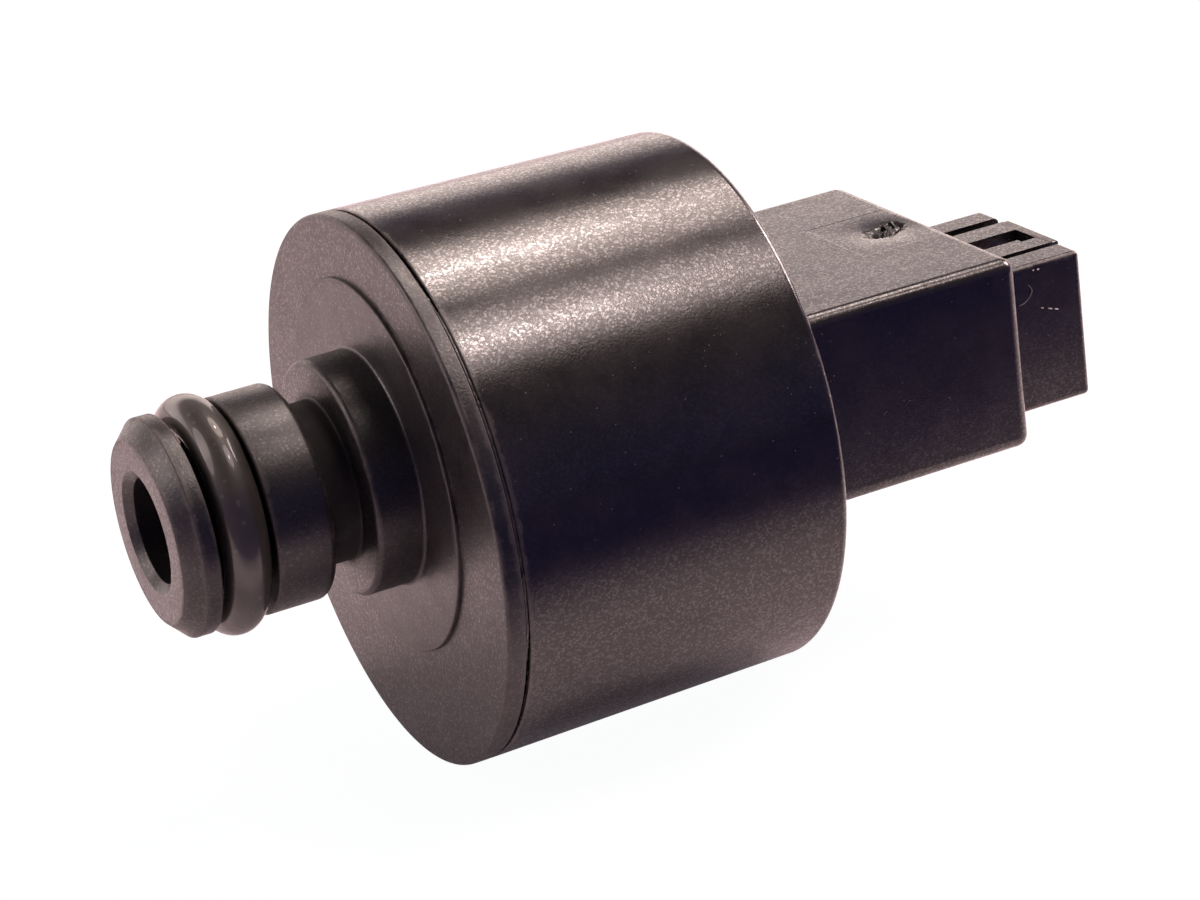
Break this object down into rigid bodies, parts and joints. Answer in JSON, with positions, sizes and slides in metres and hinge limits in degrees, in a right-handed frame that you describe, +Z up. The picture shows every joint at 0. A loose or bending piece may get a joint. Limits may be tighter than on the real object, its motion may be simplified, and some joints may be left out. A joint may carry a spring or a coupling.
{
  "type": "pressure sensor",
  "caption": "Plug-in water pressure sensor: sealed spigot with clip groove, round body with sprung diaphragm, square block and latched electrical connector.",
  "frame": {"origin": "on the spigot's axis, in the front face of its collar, where it meets the part it plugs into", "axes": "+X along the spigot towards the electrical connector (nose at -X), +Z up towards the connector's latch side, +Y across"},
  "size_m": [0.0517, 0.0286, 0.0287],
  "materials": {
    "housing": "black glass-filled plastic, fine spark-eroded grain",
    "seal": "smooth black rubber, greased",
    "spring_steel": "drawn spring steel",
    "pins": "tinned",
    "inner_plastic": "natural white moulded plastic",
    "magnet": "sintered and plated",
    "board": "green solder mask over glass epoxy",
    "package": "moulded epoxy",
    "ceramic": "tan ceramic chip"
  },
  "bodies": {
    "housing": {"front_housing": "housing", "rear_housing": "housing", "guide_frame": "housing", "o_ring": "seal", "diaphragm": "seal", "main_spring": "spring_steel", "spring_washer": "spring_steel", "adjusting_screw": "inner_plastic", "terminal_pin_1": "pins", "terminal_pin_2": "pins", "terminal_pin_3": "pins", "circuit_board": "board", "field_sensor": "package", "resistor": "package", "capacitor_1": "ceramic", "capacitor_2": "ceramic"},
    "plunger": {"plunger": "inner_plastic", "clamp_disc": "inner_plastic", "push_nut": "spring_steel", "magnet": "magnet"}
  },
  "joints": [
    {"name": "plunger_slide", "type": "slide", "parent": "housing", "child": "plunger", "axis": [1, 0, 0], "range_m": [0, 0.0015], "stiffness_N_per_m": 22000, "deforming": ["main_spring", "diaphragm"]}
  ]
}
